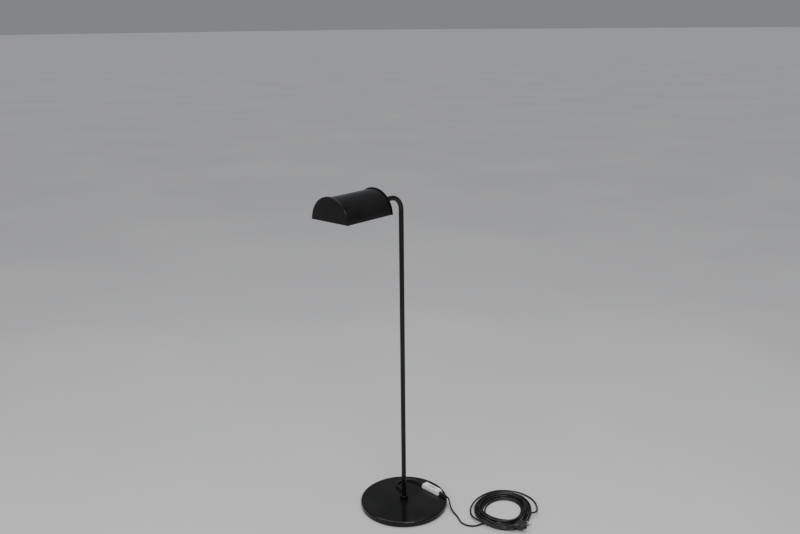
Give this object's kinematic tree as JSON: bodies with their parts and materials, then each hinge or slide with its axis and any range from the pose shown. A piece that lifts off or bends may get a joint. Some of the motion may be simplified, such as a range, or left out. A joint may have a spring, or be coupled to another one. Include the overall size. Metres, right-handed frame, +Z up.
{
  "type": "adjustable arm floor lamp",
  "caption": "Slim floor reading lamp: round weighted base, bent stem and a half-round shade that tilts about the arm, with an in-line slide dimmer and coiled lead.",
  "frame": {"origin": "centre of the felt pad's underside, under the stem's axis, on the floor", "axes": "+Z up along the stem; the arm and shade point along -X; the dimmer and coiled lead lie on the +X, -Y side"},
  "size_m": [0.587, 0.5406, 1.061],
  "materials": {
    "black_enamel": "gloss black enamel",
    "white_enamel": "satin white reflector enamel",
    "felt": "black wool felt",
    "steel": "turned steel",
    "zinc_screws": "bright zinc plated",
    "black_screws": "black oxide",
    "friction_fibre": "dark brown fibre",
    "acetal": "black acetal",
    "black_rubber": "soft PVC, black",
    "cord_pvc": "smooth PVC sheath, black",
    "phenolic": "dark phenolic moulding",
    "ceramic": "glazed ceramic",
    "brass": "bright brass",
    "bulb_glass": "frosted glass",
    "tungsten": "filament and wires",
    "dimmer_white": "satin white ABS",
    "dimmer_grey": "pale grey ABS",
    "circuit": "green board",
    "plug_plastic": "satin black plastic",
    "nickel": "nickel plated brass"
  },
  "bodies": {
    "root": {"base_plate": "black_enamel", "felt_pad": "felt", "pivot_stud": "steel", "stud_screws": "zinc_screws", "foot_washer": "acetal", "cord_clamp": "acetal", "clamp_screws": "zinc_screws", "base_cable": "cord_pvc", "cord_gland": "black_rubber", "dimmer_base": "dimmer_white", "dimmer_cover": "dimmer_white", "dimmer_board": "circuit", "boot_in": "black_rubber", "boot_out": "black_rubber", "feed_cord": "cord_pvc", "lead_cord": "cord_pvc", "lead_coil": "cord_pvc", "plug_body": "plug_plastic", "plug_pins": "nickel", "plug_boot": "black_rubber"},
    "stem": {"stem_tube": "black_enamel", "foot_collar": "black_enamel", "collar_screw": "black_screws", "stem_cable": "cord_pvc", "arm_nipple": "black_enamel", "thrust_washer": "steel", "spring_washer": "steel", "pivot_nut": "zinc_screws", "lamp_holder": "phenolic", "contact_block": "ceramic", "screw_shell": "brass", "bulb_cap": "brass", "bulb_glass": "bulb_glass", "bulb_filament": "tungsten"},
    "shade": {"outer_friction_washer": "friction_fibre", "pivot_bush": "acetal", "inner_friction_washer": "friction_fibre", "front_plate": "black_enamel", "rear_plate": "black_enamel", "shade_barrel": "black_enamel", "reflector": "white_enamel", "tie_rods": "steel", "tie_screws": "black_screws"},
    "slider": {"dimmer_slider": "dimmer_grey"}
  },
  "joints": [
    {"name": "stem_swivel", "type": "hinge", "parent": "root", "child": "stem", "pos_m": [0, 0, 0.0175], "axis": [0, 0, 1], "range_deg": [-150, 150]},
    {"name": "shade_tilt", "type": "hinge", "parent": "stem", "child": "shade", "pos_m": [-0.115, 0, 1.018], "axis": [1, 0, 0], "range_deg": [-90, 90]},
    {"name": "dimmer_slide", "type": "slide", "parent": "root", "child": "slider", "axis": [0.0779, 0.997, 0], "range_m": [-0.011, 0.011]}
  ]
}
